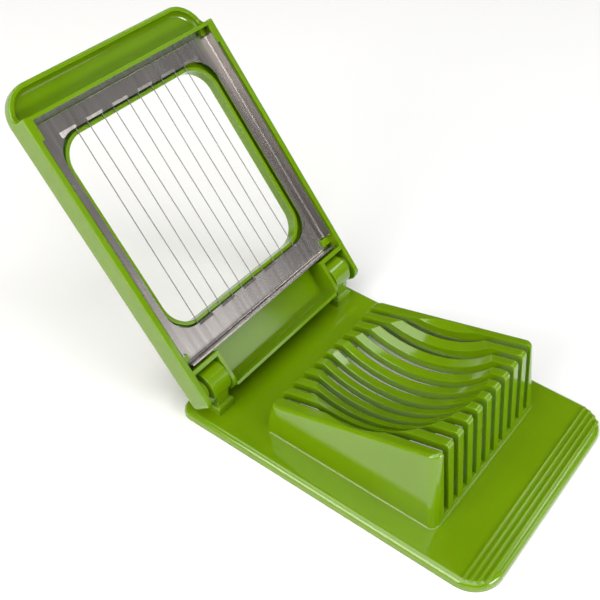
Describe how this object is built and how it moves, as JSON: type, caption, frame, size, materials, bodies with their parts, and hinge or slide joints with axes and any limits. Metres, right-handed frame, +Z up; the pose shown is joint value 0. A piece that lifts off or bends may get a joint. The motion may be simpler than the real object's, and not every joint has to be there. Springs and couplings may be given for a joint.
{
  "type": "egg slicer",
  "caption": "Egg slicer: a slotted cradle on a flat base, and a hinged lid that carries a steel frame strung with thin cutting wires.",
  "frame": {"origin": "on the base's underside, in the middle plane and straight below the hinge line", "axes": "+X across the slicer along the hinge, +Y from the grip end towards the hinge and back, +Z up"},
  "size_m": [0.086, 0.1852, 0.0966],
  "materials": {
    "green_plastic": "glossy moulded lime green",
    "green_plastic_lid": "glossy moulded lime green",
    "steel_sheet": "stamped stainless sheet, satin",
    "steel_wire": "drawn stainless wire, bright"
  },
  "bodies": {
    "base_body": {"base": "green_plastic"},
    "lid_body": {"lid": "green_plastic_lid", "cutting_frame": "steel_sheet", "wire_01": "steel_wire", "wire_02": "steel_wire", "wire_03": "steel_wire", "wire_04": "steel_wire", "wire_05": "steel_wire", "wire_06": "steel_wire", "wire_07": "steel_wire", "wire_08": "steel_wire", "wire_09": "steel_wire", "wire_10": "steel_wire"}
  },
  "joints": [
    {"name": "lid_hinge", "type": "hinge", "parent": "base_body", "child": "lid_body", "pos_m": [0, 0, 0.013], "axis": [1, 0, 0], "range_deg": [0, 133.1]}
  ]
}
